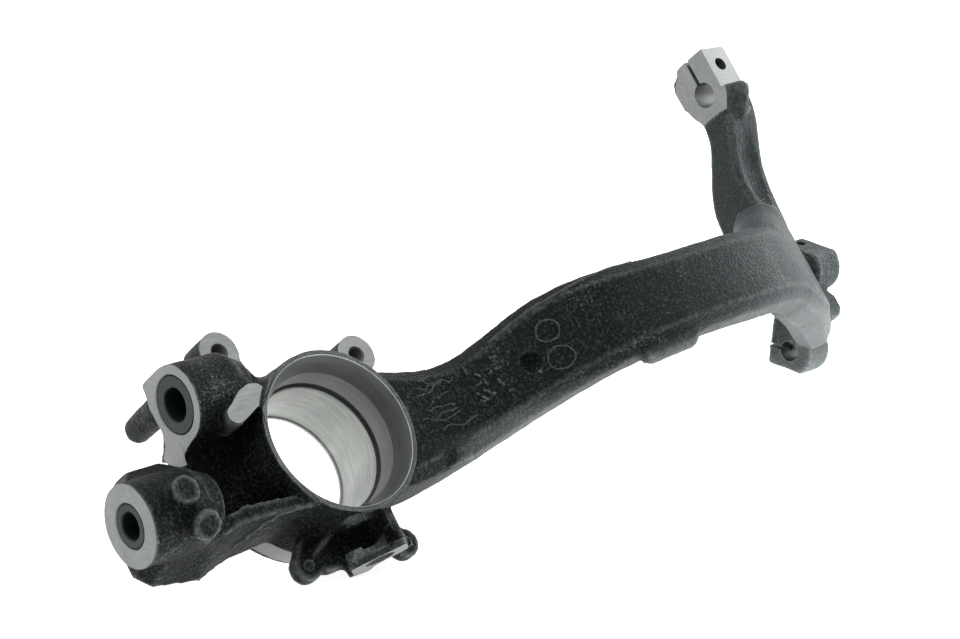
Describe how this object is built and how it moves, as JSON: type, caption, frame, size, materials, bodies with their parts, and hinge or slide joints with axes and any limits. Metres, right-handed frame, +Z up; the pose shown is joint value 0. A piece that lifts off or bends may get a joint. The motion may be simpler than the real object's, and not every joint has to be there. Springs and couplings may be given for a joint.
{
  "type": "steering knuckle",
  "caption": "Cast front steering knuckle with a bearing bore, goose neck, upper pinch clamps, steering arm and lower ball joint bosses.",
  "frame": {"origin": "middle of the bearing seat, on the wheel axis", "axes": "+X forward, +Y outboard along the wheel axis, +Z up; the part is for the left side of the car"},
  "size_m": [0.2256, 0.1506, 0.5315],
  "materials": {
    "coated_casting": "black coating over rough cast iron, with bare machined faces",
    "bush_steel": "dark hardened steel, turned"
  },
  "bodies": {
    "root": {"knuckle_casting": "coated_casting", "rear_ball_joint_bush": "bush_steel", "front_ball_joint_bush": "bush_steel"}
  },
  "joints": []
}
